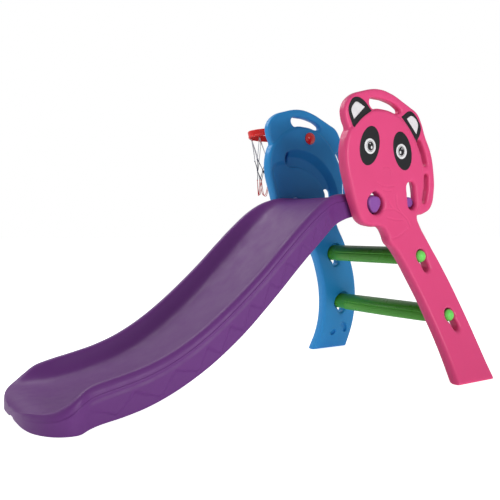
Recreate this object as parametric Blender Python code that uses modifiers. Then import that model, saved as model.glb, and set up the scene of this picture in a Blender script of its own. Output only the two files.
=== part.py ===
"""Toddler slide: a blow-moulded chute hung by side pegs between two panda-head side panels,
with two plug-in steps, a basketball hoop with its net, and face stickers on the panels.

Everything is laid out in "slide axes": x runs rearwards from the front of the panel feet, y runs
from the left panel (negative) to the right panel (positive), and z is up from the floor. The empty
slide_origin then carries the model so that the world origin is under the middle of its box."""

import math

import bmesh
import bpy
from mathutils import Matrix, Vector

# ---- driving dimensions, metres, in slide axes ----
PANEL_THICK = 0.036
EDGE_ROUND = 0.006
HEAD_HALF = 0.187  # outer face of a panel's head, from the plane of symmetry
# The legs splay outwards: height above the floor, outer face from the plane of symmetry.
SPLAY = (
    (0.0, 0.320), (0.06, 0.288), (0.13, 0.257), (0.21, 0.229), (0.30, 0.2055), (0.40, 0.190),
    (0.50, HEAD_HALF),
)  # fmt: skip
BOX_MIDDLE_X = -0.446
BOX_MIDDLE_Y = 0.0565

PIVOT = Vector((-0.164, 0.0, 0.472))  # axis of the chute's front pegs
PEG_RADIUS = 0.022
PEG_LOBE = 0.0018
PEG_TIP_Y = 0.182
LIFT_PEG_RADIUS = 0.0145
LIFT_PEG_REACH = 0.138  # from the pivot to the rear peg
LIFT_PEG_ANGLE = math.radians(3.0)
LIFT_PEG_TIP_Y = 0.1715

TRACK_OUTER = 0.1565  # the arc track that the rear peg follows when the slide is folded
TRACK_INNER = 0.1215
TRACK_DEPTH = 0.022
TRACK_FROM = math.radians(-3.3)
TRACK_TO = math.radians(104.0)
WELL_DEPTH = 0.008
TRACK_END_HOLE = ((-0.197, 0.6125), (-0.1965, 0.6315))  # small slot through the panel at the track's end
TRACK_END_RADIUS = 0.0068
FOOT_HOLE = (0.063, 0.060)
FOOT_HOLE_RADIUS = 0.008
FOOT_MARK_DEPTH = 0.006
FOOT_CRESCENT = ((0.078, 0.058), 0.036, 0.027)  # centre, outer and inner radius
CUTTER_RUN = 0.01  # how far a cutter runs past the face it opens

CHUTE_HALF_TOP = 0.149
CHUTE_FLOOR_THICK = 0.022

STEP_AXES = ((-0.006, 0.332), (0.060, 0.171))
STEP_HALF_HEIGHT = 0.024
STEP_HALF_DEPTH = 0.042
STEP_END_RADIUS = 0.0245
STEP_POCKET_RADIUS = 0.0275
STEP_POCKET_DEPTH = 0.009
KEYHOLE_RADIUS = 0.0185
KEYHOLE_SLOT_RADIUS = 0.0125
KEYHOLE_SLOT_DROP = Vector((0.0125, -0.0305))
NECK_RADIUS = 0.0105
KNOB_RADIUS = 0.0165
KNOB_PROUD = 0.006
STEP_STATIONS = (-1.0, -0.93, -0.84, -0.70, -0.45, 0.0, 0.45, 0.70, 0.84, 0.93, 1.0)  # shares of half width

HOOP_BOLT = Vector((-0.118, 0.684))
HOOP_CENTRE_Y = 0.345
HOOP_RADIUS = 0.086
HOOP_TOP = 0.729
HOOP_BAND = 0.022
HOOP_WALL = 0.006
HOOP_EDGE = 0.003
PLATE_HALF = 0.017  # the hoop's plate on the right panel
PLATE_Z = (0.668, 0.705)
PLATE_THICK = 0.008
ARM_HALF = 0.014
BOSS_RADIUS = 0.013
BOSS_LENGTH = 0.022
BORE_RADIUS = 0.0065
BOLT_RADIUS = 0.0060
BOLT_REACH = 0.017
BOLT_HEAD = 0.0185
BOLT_DOME = 0.0105
NET_LENGTH = 0.186
NET_THICK = 0.003

FIT_GAP = 0.0003
DECAL_THICK = 0.0006
WELD = 0.00005

PINK = (0.86, 0.12, 0.30)
BLUE = (0.05, 0.42, 0.83)
PURPLE = (0.20, 0.06, 0.33)
GREEN = (0.10, 0.55, 0.08)
RED = (0.80, 0.02, 0.02)
BLACK = (0.02, 0.02, 0.02)
NET_WHITE = (0.75, 0.75, 0.78)

# Outline of a panel, (x, z), from the front of the foot up the front edge and back down the rear.
# "V" is a corner, "A" a smooth point.
OUTLINE = (
    (0.006, 0.0, "V"), (0.007, 0.070, "A"), (-0.008, 0.155, "A"), (-0.048, 0.264, "A"), (-0.099, 0.352, "A"),
    (-0.118, 0.370, "A"), (-0.126, 0.393, "A"), (-0.141, 0.411, "A"), (-0.174, 0.4135, "A"),
    (-0.210, 0.424, "A"), (-0.233, 0.465, "A"), (-0.252, 0.520, "A"), (-0.2675, 0.582, "A"),
    (-0.264, 0.630, "A"), (-0.2535, 0.657, "A"), (-0.264, 0.684, "A"), (-0.2655, 0.714, "A"),
    (-0.243, 0.743, "A"), (-0.205, 0.7585, "A"), (-0.150, 0.769, "A"), (-0.104, 0.762, "A"),
    (-0.062, 0.7455, "A"), (-0.036, 0.734, "A"), (-0.009, 0.7205, "A"), (0.009, 0.694, "A"),
    (0.0205, 0.662, "A"), (0.044, 0.618, "A"), (0.057, 0.565, "A"), (0.0595, 0.510, "A"),
    (0.0465, 0.465, "A"), (0.018, 0.449, "A"), (-0.010, 0.439, "A"), (-0.002, 0.418, "A"),
    (0.029, 0.370, "A"), (0.073, 0.297, "A"), (0.111, 0.210, "A"), (0.138, 0.110, "A"), (0.150, 0.0, "V"),
)  # fmt: skip
HANDLE_OPENING = (
    (-0.184, 0.740, "A"), (-0.150, 0.7465, "A"), (-0.110, 0.742, "A"), (-0.082, 0.732, "A"),
    (-0.070, 0.7205, "A"), (-0.080, 0.7125, "A"), (-0.118, 0.717, "A"), (-0.155, 0.7185, "A"),
    (-0.174, 0.7165, "A"),
)  # fmt: skip
GRIP_SLOTS = (
    ((0.000, 0.643), (0.016, 0.614), (0.025, 0.586)),
    ((0.030, 0.551), (0.030, 0.518), (0.022, 0.484)),
)
GRIP_SLOT_RADIUS = 0.0095
PEG_EYE_RADIUS = 0.0285
PEG_EYE_TIP = ((0.0130, 0.0300), (0.0, 0.0365), (-0.0130, 0.0300))  # its narrower top, from the pivot
LIFT_SLOT = ((-0.0375, 0.520), (-0.032, 0.472))
LIFT_SLOT_RADIUS = 0.0180
WELL = (
    (-0.213, 0.447, "A"), (-0.226, 0.490, "A"), (-0.243, 0.545, "A"), (-0.249, 0.585, "A"),
    (-0.226, 0.600, "A"), (-0.164, 0.602, "A"), (-0.100, 0.590, "A"), (-0.058, 0.560, "A"),
    (-0.045, 0.510, "A"), (-0.055, 0.455, "A"), (-0.110, 0.434, "A"), (-0.170, 0.430, "A"),
)  # fmt: skip

# Sections of the chute along x: crest height, floor height, bottom height, half width.
CHUTE = (
    (-1.0415, 0.0240, 0.0230, 0.0000, 0.050), (-1.0385, 0.0300, 0.0285, 0.0000, 0.092),
    (-1.030, 0.0360, 0.0335, 0.0000, 0.125), (-1.015, 0.0400, 0.0365, 0.0000, 0.152),
    (-0.995, 0.0460, 0.0370, 0.0000, 0.173), (-0.970, 0.0590, 0.0365, 0.0000, 0.185),
    (-0.945, 0.0750, 0.0370, 0.0000, 0.184), (-0.925, 0.0850, 0.0385, 0.0040, 0.174),
    (-0.900, 0.0920, 0.0420, 0.0090, 0.170), (-0.850, 0.1025, 0.0505, 0.0170, 0.170),
    (-0.800, 0.1150, 0.0620, 0.0285, 0.170), (-0.750, 0.1330, 0.0770, 0.0460, 0.170),
    (-0.700, 0.1580, 0.0990, 0.0690, 0.170), (-0.650, 0.1895, 0.1280, 0.0970, 0.170),
    (-0.600, 0.2265, 0.1630, 0.1310, 0.170), (-0.550, 0.2675, 0.2030, 0.1700, 0.170),
    (-0.500, 0.3115, 0.2480, 0.2150, 0.170), (-0.450, 0.3595, 0.2970, 0.2625, 0.170),
    (-0.400, 0.4060, 0.3470, 0.3110, 0.169), (-0.350, 0.4485, 0.3990, 0.3560, 0.167),
    (-0.310, 0.4750, 0.4400, 0.3880, 0.161), (-0.280, 0.4880, 0.4650, 0.4090, 0.1525),
    (-0.250, 0.4950, 0.4825, 0.4250, CHUTE_HALF_TOP), (-0.210, 0.4975, 0.4930, 0.4370, CHUTE_HALF_TOP),
    (-0.150, 0.4970, 0.4960, 0.4420, CHUTE_HALF_TOP), (-0.080, 0.4950, 0.4950, 0.4430, CHUTE_HALF_TOP),
    (-0.020, 0.4920, 0.4920, 0.4440, CHUTE_HALF_TOP), (-0.002, 0.4870, 0.4870, 0.4460, 0.1475),
)  # fmt: skip

EYES = ((-0.189, 0.620, -15.0), (-0.071, 0.614, 16.0))
EYE_HALF = (0.033, 0.052)
EARS = (
    (
        (-0.179, 0.711), (-0.213, 0.689), (-0.241, 0.662), (-0.257, 0.703), (-0.248, 0.731), (-0.229, 0.741),
        (-0.205, 0.734),
    ),
    ((-0.071, 0.705), (-0.042, 0.723), (-0.018, 0.714), (0.004, 0.681), (-0.011, 0.641), (-0.040, 0.676)),
)  # fmt: skip
EAR_CORNERS = ((0, 2), (0, 4))


# ---- scene and object helpers ----
def clear_scene():
    for old in list(bpy.data.objects):
        bpy.data.objects.remove(old, do_unlink=True)


def new_collection(name):
    made = bpy.data.collections.new(name)
    bpy.context.scene.collection.children.link(made)
    return made


def material(name, colour, roughness=0.35):
    made = bpy.data.materials.new(name)
    made.use_nodes = True
    shader = made.node_tree.nodes["Principled BSDF"]
    shader.inputs["Base Color"].default_value = (*colour, 1.0)
    shader.inputs["Roughness"].default_value = roughness
    made.diffuse_color = (*colour, 1.0)
    return made


def new_empty(name, parent, location):
    made = bpy.data.objects.new(name, None)
    PARTS.objects.link(made)
    made.parent = parent
    made.location = location
    return made


def mesh_object(name, mesh, collection):
    made = bpy.data.objects.new(name, mesh)
    collection.objects.link(made)
    return made


def finish_part(name, mesh, look, holder, holder_at):
    """One node: the mesh, drawn in slide axes, is moved so that the object sits on its holder."""
    mesh.transform(Matrix.Translation(-holder_at))
    mesh.materials.clear()
    mesh.materials.append(look)
    for face in mesh.polygons:
        face.use_smooth = True
    mesh.set_sharp_from_angle(angle=math.radians(35.0))
    made = mesh_object(name, mesh, PARTS)
    made.parent = holder
    return made


def evaluated_mesh(obj):
    """A new mesh holding the object with its modifiers, caps welded."""
    bpy.context.view_layer.update()
    graph = bpy.context.evaluated_depsgraph_get()
    mesh = bpy.data.meshes.new_from_object(obj.evaluated_get(graph), depsgraph=graph)
    mesh.transform(obj.matrix_world)
    bm = bmesh.new()
    bm.from_mesh(mesh)
    bmesh.ops.remove_doubles(bm, verts=bm.verts, dist=0.00002)
    bmesh.ops.recalc_face_normals(bm, faces=bm.faces)
    bm.to_mesh(mesh)
    bm.free()
    return mesh


def combine(mesh, others, operation):
    """The mesh after one exact Boolean with each of the others, which become hidden cutters."""
    body = mesh_object("working_body", mesh, CUTTERS)
    for other in others:
        tool = mesh_object("cutter", other, CUTTERS)
        tool.hide_render = True
        tool.display_type = "WIRE"
        cut = body.modifiers.new("cut", "BOOLEAN")
        cut.operation = operation
        cut.object = tool
    result = evaluated_mesh(body)
    bpy.data.objects.remove(body, do_unlink=True)
    return result


# ---- outlines and prisms ----
def add_bezier(curve, points):
    spline = curve.splines.new("BEZIER")
    spline.bezier_points.add(len(points) - 1)
    for knot, (x, z, kind) in zip(spline.bezier_points, points):
        knot.co = (x, z, 0.0)
        knot.handle_left_type = "VECTOR" if kind == "V" else "AUTO"
        knot.handle_right_type = knot.handle_left_type
    spline.use_cyclic_u = True


def add_polygon(curve, points):
    spline = curve.splines.new("POLY")
    spline.points.add(len(points) - 1)
    for knot, (x, z) in zip(spline.points, points):
        knot.co = (x, z, 0.0, 1.0)
    spline.use_cyclic_u = True


def flat_curve(thickness, rounding=0.0, resolution=3):
    """A filled 2D curve whose own x and y become x and z of the slide."""
    curve = bpy.data.curves.new("outline", "CURVE")
    curve.dimensions = "2D"
    curve.fill_mode = "BOTH"
    curve.resolution_u = resolution
    curve.extrude = thickness / 2.0 - rounding
    curve.bevel_depth = rounding
    curve.bevel_resolution = 0
    curve.offset = -rounding
    return curve


def curve_mesh(curve, centre_y):
    """The solid of the curve, standing upright with its middle plane at y = centre_y."""
    obj = bpy.data.objects.new("outline", curve)
    CUTTERS.objects.link(obj)
    obj.matrix_world = Matrix.Translation((0.0, centre_y, 0.0)) @ Matrix.Rotation(math.radians(90.0), 4, "X")
    mesh = evaluated_mesh(obj)
    bpy.data.objects.remove(obj, do_unlink=True)
    return mesh


def arc_points(centre, radius, start, end, count):
    steps = [start + (end - start) * i / (count - 1) for i in range(count)]
    return [(centre[0] + radius * math.cos(a), centre[1] + radius * math.sin(a)) for a in steps]


def stadium(spine, radius, count=7):
    """A rounded slot along a spine of two or more points."""
    first, second = Vector(spine[0]), Vector(spine[1])
    before, last = Vector(spine[-2]), Vector(spine[-1])
    head = math.atan2(first.y - second.y, first.x - second.x)
    tail = math.atan2(last.y - before.y, last.x - before.x)
    quarter = math.pi / 2.0
    points = arc_points(first, radius, head - quarter, head + quarter, count)
    middles = [Vector(p) for p in spine[1:-1]]
    for middle in middles:
        points.append(tuple(middle + radius * side_of(last - first)))
    points += arc_points(last, radius, tail - quarter, tail + quarter, count)
    for middle in reversed(middles):
        points.append(tuple(middle - radius * side_of(last - first)))
    return points


def side_of(direction):
    across = Vector((direction.y, -direction.x)).normalized()
    return across if across.x < 0.0 else -across


def keyhole(axis):
    """A round hole with a narrower slot running down the leg from it."""
    centre = Vector(axis)
    low = centre + KEYHOLE_SLOT_DROP
    down = math.atan2(KEYHOLE_SLOT_DROP.y, KEYHOLE_SLOT_DROP.x)
    throat = math.asin(KEYHOLE_SLOT_RADIUS / KEYHOLE_RADIUS)
    around = arc_points(centre, KEYHOLE_RADIUS, down + throat, down - throat + 2.0 * math.pi, 15)
    quarter = math.pi / 2.0
    return around + arc_points(low, KEYHOLE_SLOT_RADIUS, down - quarter, down + quarter, 7)


def peg_eye():
    """The egg-shaped hole round the front peg."""
    lower = arc_points(PIVOT.xz, PEG_EYE_RADIUS, math.radians(150.0), math.radians(390.0), 17)
    return lower + [(PIVOT.x + x, PIVOT.z + z) for x, z in PEG_EYE_TIP]


def cylinder_y(x, z, y_from, y_to, radius, sides=24):
    """A cylinder along y."""
    bm = bmesh.new()
    turn = Matrix.Rotation(math.radians(90.0), 4, "X")
    place = Matrix.Translation((x, (y_from + y_to) / 2.0, z)) @ turn
    depth = abs(y_to - y_from)
    bmesh.ops.create_cone(
        bm, cap_ends=True, segments=sides, radius1=radius, radius2=radius, depth=depth, matrix=place
    )
    mesh = bpy.data.meshes.new("cylinder")
    bm.to_mesh(mesh)
    bm.free()
    return mesh


def along_y(x, z):
    """A frame at (x, z) whose own z axis runs along y."""
    return Matrix.Translation((x, 0.0, z)) @ Matrix.Rotation(math.radians(-90.0), 4, "X")


def turned_mesh(profile, place, steps, ring=False):
    """The solid turned from a profile of (radius, height); the profile of a ring closes on itself."""
    mesh = bpy.data.meshes.new("turned")
    last = len(profile) if ring else len(profile) - 1
    edges = [(i, (i + 1) % len(profile)) for i in range(last)]
    mesh.from_pydata([(r, 0.0, z) for r, z in profile], edges, [])
    obj = mesh_object("turned", mesh, CUTTERS)
    turn = obj.modifiers.new("turn", "SCREW")
    turn.axis = "Z"
    turn.steps = steps
    turn.render_steps = steps
    turn.use_merge_vertices = True
    turn.merge_threshold = WELD
    obj.matrix_world = place
    turned = evaluated_mesh(obj)
    bpy.data.objects.remove(obj, do_unlink=True)
    return turned


def skinned(rings, name):
    """The closed solid through a row of rings of points."""
    bm = bmesh.new()
    made = [[bm.verts.new(point) for point in ring] for ring in rings]
    for ring, after in zip(made, made[1:]):
        for i, corner in enumerate(ring):
            j = (i + 1) % len(ring)
            bm.faces.new((corner, ring[j], after[j], after[i]))
    bm.faces.new(made[0])
    bm.faces.new(made[-1])
    bmesh.ops.recalc_face_normals(bm, faces=bm.faces)
    mesh = bpy.data.meshes.new(name)
    bm.to_mesh(mesh)
    bm.free()
    return mesh


def prism(points, y_from, y_to):
    curve = flat_curve(abs(y_to - y_from))
    add_polygon(curve, points)
    return curve_mesh(curve, (y_from + y_to) / 2.0)


# ---- splay of the legs ----
def outer_half(z):
    """The outer face of a panel at a height, from the plane of symmetry."""
    for (z0, half0), (z1, half1) in zip(SPLAY, SPLAY[1:]):
        if z <= z1:
            return half0 + (half1 - half0) * (z - z0) / (z1 - z0)
    return HEAD_HALF


def splay_panel(mesh):
    """Cuts the flat panel at each knot of the splay and shears it outwards."""
    bm = bmesh.new()
    bm.from_mesh(mesh)
    up = Vector((0.0, 0.0, 1.0))
    for height, _ in SPLAY[1:]:
        everything = bm.verts[:] + bm.edges[:] + bm.faces[:]
        bmesh.ops.bisect_plane(bm, geom=everything, plane_co=height * up, plane_no=up, dist=1e-6)
    for vert in bm.verts:
        vert.co.y += outer_half(vert.co.z) - HEAD_HALF
    bm.to_mesh(mesh)
    bm.free()


def mirrored(mesh):
    """The same mesh on the other side of the plane of symmetry."""
    other = mesh.copy()
    other.transform(Matrix.Scale(-1.0, 4, (0.0, 1.0, 0.0)))
    other.flip_normals()
    return other


# ---- side panels ----
def panel_blank():
    """The right panel before its recesses: outline and through openings with rounded rims."""
    curve = flat_curve(PANEL_THICK, EDGE_ROUND)
    add_bezier(curve, OUTLINE)
    add_bezier(curve, HANDLE_OPENING)
    for spine in GRIP_SLOTS:
        add_polygon(curve, stadium(spine, GRIP_SLOT_RADIUS))
    add_polygon(curve, peg_eye())
    add_polygon(curve, stadium(LIFT_SLOT, LIFT_SLOT_RADIUS))
    for axis in STEP_AXES:
        add_polygon(curve, keyhole(axis))
    return curve_mesh(curve, HEAD_HALF - PANEL_THICK / 2.0)


def foot_marks(start, inner):
    """A small blind hole and a crescent in the inner face of the foot."""
    floor = inner + FOOT_MARK_DEPTH
    centre, outer, within = FOOT_CRESCENT
    outside = arc_points(centre, outer, math.radians(0.0), math.radians(80.0), 9)
    inside = arc_points(centre, within, math.radians(72.0), math.radians(8.0), 9)
    return [cylinder_y(*FOOT_HOLE, start, floor, FOOT_HOLE_RADIUS, 16), prism(outside + inside, start, floor)]


def panel_recesses():
    """The peg track, the well round the pivot, the step pockets and the foot marks, in the inner face."""
    inner = HEAD_HALF - PANEL_THICK
    start = inner - CUTTER_RUN
    outside = arc_points(PIVOT.xz, TRACK_OUTER, TRACK_FROM, TRACK_TO, 25)
    inside = arc_points(PIVOT.xz, TRACK_INNER, TRACK_TO, TRACK_FROM, 21)
    track = prism(outside + inside, start, inner + TRACK_DEPTH)
    end_hole = prism(stadium(TRACK_END_HOLE, TRACK_END_RADIUS), start, HEAD_HALF + CUTTER_RUN)
    well_curve = flat_curve(WELL_DEPTH + CUTTER_RUN, 0.0, 2)
    add_bezier(well_curve, WELL)
    well = curve_mesh(well_curve, (start + inner + WELL_DEPTH) / 2.0)
    pockets = [
        cylinder_y(x, z, start, inner + STEP_POCKET_DEPTH, STEP_POCKET_RADIUS, 28) for x, z in STEP_AXES
    ]
    return [well, track, end_hole, *pockets, *foot_marks(start, inner)]


def build_panels():
    inner = HEAD_HALF - PANEL_THICK
    plain = combine(panel_blank(), panel_recesses(), "DIFFERENCE")
    bolt_hole = cylinder_y(*HOOP_BOLT, inner - CUTTER_RUN, HEAD_HALF + CUTTER_RUN, BORE_RADIUS, 16)
    drilled = combine(panel_blank(), [bolt_hole, *panel_recesses()], "DIFFERENCE")
    splay_panel(drilled)
    splay_panel(plain)
    finish_part("left_panel", mirrored(plain), material("pink plastic", PINK), STAND, PIVOT)
    finish_part("right_panel", drilled, material("blue plastic", BLUE), STAND, PIVOT)


# ---- chute ----
def chute_section(x, crest, floor, bottom, half):
    """Half of a section, from the middle of the sliding surface round to the middle of the underside."""
    rise = crest - floor
    inner = half - min(0.055, 0.55 * half)
    roof = max(floor - CHUTE_FLOOR_THICK, bottom + 0.004)
    body = crest - bottom
    across = (
        (0.0, floor), (0.60 * inner, floor + 0.02 * rise), (inner, floor + 0.10 * rise),
        (half - 0.036, floor + 0.32 * rise), (half - 0.025, floor + 0.72 * rise),
        (half - 0.017, floor + 0.96 * rise), (half - 0.011, crest), (half - 0.005, crest - 0.05 * body),
        (half - 0.003, crest - 0.22 * body), (half, crest - 0.28 * body), (half, bottom + 0.10 * body),
        (half - 0.004, bottom), (half - 0.028, bottom), (half - 0.034, min(bottom + 0.005, roof)),
        (half - 0.042, roof), (0.0, roof),
    )  # fmt: skip
    return [Vector((x, y, z)) for y, z in across]


def chute_body():
    rings = []
    for row in CHUTE:
        right = chute_section(*row)
        rings.append(right + [Vector((p.x, -p.y, p.z)) for p in reversed(right[1:-1])])
    return skinned(rings, "chute")


def peg_outline():
    """A rounded triangle that points forwards and down."""
    angles = [2.0 * math.pi * i / 24 for i in range(24)]
    radii = [PEG_RADIUS + PEG_LOBE * math.cos(3.0 * (a - math.radians(30.0))) for a in angles]
    return [(PIVOT.x + r * math.cos(a), PIVOT.z + r * math.sin(a)) for a, r in zip(angles, radii)]


def build_chute():
    sunk = CHUTE_HALF_TOP - 0.012
    front = prism(peg_outline(), sunk, PEG_TIP_Y)
    lift_x = PIVOT.x + LIFT_PEG_REACH * math.cos(LIFT_PEG_ANGLE)
    lift_z = PIVOT.z + LIFT_PEG_REACH * math.sin(LIFT_PEG_ANGLE)
    rear = cylinder_y(lift_x, lift_z, sunk, LIFT_PEG_TIP_Y, LIFT_PEG_RADIUS)
    pegs = [front, rear, mirrored(front), mirrored(rear)]
    mesh = combine(chute_body(), pegs, "UNION")
    finish_part("slide_chute", mesh, material("purple plastic", PURPLE), SLIDE, Vector())


# ---- steps ----
def step_section(depth_half, height_half):
    """A tread that is crowned above and nearly straight at the front and back, (x, z)."""
    return [
        (-0.55 * depth_half, -height_half), (-0.88 * depth_half, -0.80 * height_half),
        (-depth_half, -0.35 * height_half), (-depth_half, 0.15 * height_half),
        (-0.86 * depth_half, 0.55 * height_half), (-0.52 * depth_half, 0.90 * height_half),
        (0.0, height_half), (0.52 * depth_half, 0.90 * height_half),
        (0.86 * depth_half, 0.55 * height_half), (depth_half, 0.15 * height_half),
        (depth_half, -0.35 * height_half), (0.88 * depth_half, -0.80 * height_half),
        (0.55 * depth_half, -height_half),
    ]  # fmt: skip


def step_ring(axis, y, swell):
    """The step's section at y: round at the ends, the full tread where swell is over a third."""
    depth_half = STEP_END_RADIUS + (STEP_HALF_DEPTH - STEP_END_RADIUS) * swell
    tread = step_section(depth_half, STEP_HALF_HEIGHT)
    mix = min(1.0, swell * 3.0)
    ring = []
    for i, (x, z) in enumerate(tread):
        angle = math.radians(104.0) - 2.0 * math.pi * i / len(tread)
        round_x = STEP_END_RADIUS * math.cos(angle)
        round_z = STEP_END_RADIUS * math.sin(angle)
        ring.append((axis[0] + round_x + (x - round_x) * mix, y, axis[1] + round_z + (z - round_z) * mix))
    return ring


def step_body(axis):
    """The tread, widest in the middle, with round ends that sit in the panels' pockets."""
    end_y = outer_half(axis[1]) - PANEL_THICK + STEP_POCKET_DEPTH - 0.0015
    rings = []
    for share in STEP_STATIONS:
        swell = max(0.0, 1.0 - abs(share / STEP_STATIONS[-2]) ** 2.6)
        rings.append(step_ring(axis, share * end_y, swell))
    return skinned(rings, "step")


def knob(axis):
    """The turned neck and domed knob at the right end, running out through the keyhole."""
    face = outer_half(axis[1])
    start = face - PANEL_THICK + STEP_POCKET_DEPTH - 0.006
    profile = (
        (0.0, start), (NECK_RADIUS, start), (NECK_RADIUS, face - 0.012), (KNOB_RADIUS, face - 0.010),
        (KNOB_RADIUS, face - 0.001), (0.78 * KNOB_RADIUS, face + 0.6 * KNOB_PROUD),
        (0.40 * KNOB_RADIUS, face + KNOB_PROUD), (0.0, face + KNOB_PROUD),
    )  # fmt: skip
    return turned_mesh(profile, along_y(*axis), 20)


def splay_step(mesh, axis):
    """Leans the ends of a step to the slope of the panels they plug into."""
    for vert in mesh.vertices:
        lean = outer_half(vert.co.z) - outer_half(axis[1])
        reach = abs(vert.co.y) / (outer_half(axis[1]) - PANEL_THICK)
        share = min(1.0, max(0.0, (reach - 0.80) / 0.12))
        vert.co.y += lean * share * math.copysign(1.0, vert.co.y)


def build_steps():
    look = material("green plastic", GREEN)
    for name, axis in zip(("upper_step", "lower_step"), STEP_AXES):
        end = knob(axis)
        mesh = combine(step_body(axis), [end, mirrored(end)], "UNION")
        splay_step(mesh, axis)
        finish_part(name, mesh, look, STAND, PIVOT)


# ---- basketball hoop ----
def upright_plate(outline, half):
    """A slab of an outline in (y, z), thick along x, centred on the hoop's bolt."""
    rings = [[(HOOP_BOLT.x + side, y, z) for y, z in outline] for side in (-half, half)]
    return skinned(rings, "slab")


def hoop_centre():
    return Matrix.Translation((HOOP_BOLT.x, HOOP_CENTRE_Y, 0.0))


def hoop_band():
    low = HOOP_TOP - HOOP_BAND
    within = HOOP_RADIUS - HOOP_WALL
    profile = (
        (HOOP_RADIUS - HOOP_EDGE, HOOP_TOP), (HOOP_RADIUS, HOOP_TOP - HOOP_EDGE),
        (HOOP_RADIUS, low + HOOP_EDGE), (HOOP_RADIUS - HOOP_EDGE, low), (within, low), (within, HOOP_TOP),
    )  # fmt: skip
    return turned_mesh(profile, hoop_centre(), 32, ring=True)


def build_hoop_ring():
    """The ring, its rising arm and the plate that the bolt pulls against the panel."""
    back = HEAD_HALF + FIT_GAP
    front = back + PLATE_THICK
    low, high = PLATE_Z
    near = HOOP_CENTRE_Y - HOOP_RADIUS + HOOP_WALL / 2.0
    root = front - PLATE_THICK / 2.0
    arm_low = HOOP_TOP - HOOP_BAND + 0.0015
    arm_high = HOOP_TOP - HOOP_EDGE
    plate = upright_plate(((back, low), (front, low), (front, high), (back, high)), PLATE_HALF)
    slope = ((root, low + 0.017), (near, arm_low), (near, arm_high), (root, high - 0.002))
    arm = upright_plate(slope, ARM_HALF)
    boss = cylinder_y(*HOOP_BOLT, root, back + BOSS_LENGTH, BOSS_RADIUS, 20)
    bore = cylinder_y(*HOOP_BOLT, back - CUTTER_RUN, back + BOLT_REACH + FIT_GAP, BORE_RADIUS, 16)
    solid = combine(hoop_band(), [plate, arm, boss], "UNION")
    ring = combine(solid, [bore], "DIFFERENCE")
    finish_part("hoop_ring", ring, material("red plastic", RED), STAND, PIVOT)


def build_hoop_bolt():
    """Domed head on the inner face, shank through the panel into the hoop's boss."""
    inner = HEAD_HALF - PANEL_THICK
    seat = inner - FIT_GAP
    profile = (
        (0.0, inner - BOLT_DOME), (0.45 * BOLT_HEAD, inner - 0.90 * BOLT_DOME),
        (0.80 * BOLT_HEAD, inner - 0.62 * BOLT_DOME), (BOLT_HEAD, inner - 0.19 * BOLT_DOME),
        (BOLT_HEAD, seat), (BOLT_RADIUS, seat), (BOLT_RADIUS, HEAD_HALF + BOLT_REACH),
        (0.0, HEAD_HALF + BOLT_REACH),
    )  # fmt: skip
    bolt = turned_mesh(profile, along_y(*HOOP_BOLT), 24)
    finish_part("hoop_bolt", bolt, material("red knob", RED, 0.2), STAND, PIVOT)


def build_hoop_net():
    """The hanging net as a thin funnel that narrows downwards."""
    top = HOOP_TOP - HOOP_BAND - 0.003
    middle = top - 0.6 * NET_LENGTH
    low = top - NET_LENGTH
    mouth, waist, end = HOOP_RADIUS - 0.010, HOOP_RADIUS - 0.030, HOOP_RADIUS - 0.034
    profile = (
        (mouth, top), (waist, middle), (end, low),
        (end - NET_THICK, low), (waist - NET_THICK, middle), (mouth - NET_THICK, top),
    )  # fmt: skip
    net = turned_mesh(profile, hoop_centre(), 20, ring=True)
    finish_part("hoop_net", net, material("net cord", NET_WHITE, 0.8), STAND, PIVOT)


# ---- stickers ----
def eye_mesh(x, z, tilt):
    """A tilted ellipse on the outer face."""
    turn = Matrix.Rotation(math.radians(tilt), 2)
    points = []
    for i in range(24):
        a = 2.0 * math.pi * i / 24
        corner = turn @ Vector((EYE_HALF[0] * math.cos(a), EYE_HALF[1] * math.sin(a)))
        points.append((x + corner.x, z + corner.y))
    face = HEAD_HALF + FIT_GAP
    return prism(points, face, face + DECAL_THICK)


def ear_mesh(outline, corners):
    face = HEAD_HALF + FIT_GAP
    curve = flat_curve(DECAL_THICK, 0.0, 4)
    add_bezier(curve, [(x, z, "V" if i in corners else "A") for i, (x, z) in enumerate(outline)])
    return curve_mesh(curve, face + DECAL_THICK / 2.0)


def build_stickers():
    look = material("black sticker", BLACK, 0.3)
    shapes = [("front_eye_sticker", eye_mesh(*EYES[0])), ("rear_eye_sticker", eye_mesh(*EYES[1]))]
    for name, outline, corners in zip(("front_ear_sticker", "rear_ear_sticker"), EARS, EAR_CORNERS):
        shapes.append((name, ear_mesh(outline, corners)))
    for name, mesh in shapes:
        finish_part("left_" + name, mirrored(mesh), look, STAND, PIVOT)
        finish_part("right_" + name, mesh, look, STAND, PIVOT)


clear_scene()
PARTS = new_collection("toddler_slide")
CUTTERS = new_collection("cutters")
CUTTERS.hide_render = True
SLIDE = new_empty("slide_origin", None, (-BOX_MIDDLE_X, -BOX_MIDDLE_Y, 0.0))
STAND = new_empty("fold_pivot", SLIDE, PIVOT)
build_chute()
build_panels()
build_steps()
build_hoop_ring()
build_hoop_bolt()
build_hoop_net()
build_stickers()
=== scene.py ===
"""The looks of the toddler slide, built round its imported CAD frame.

Shapes are drawn in slide axes, as in the CAD: x runs rearwards from the front of the panel feet, y from
the left panel (negative) to the right panel, z up from the floor. ORIGIN carries them into the frame."""

import math
import random

import bmesh
import bpy
import numpy as np
from mathutils import Matrix, Vector
from mathutils.bvhtree import BVHTree
from mathutils.geometry import delaunay_2d_cdt


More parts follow.
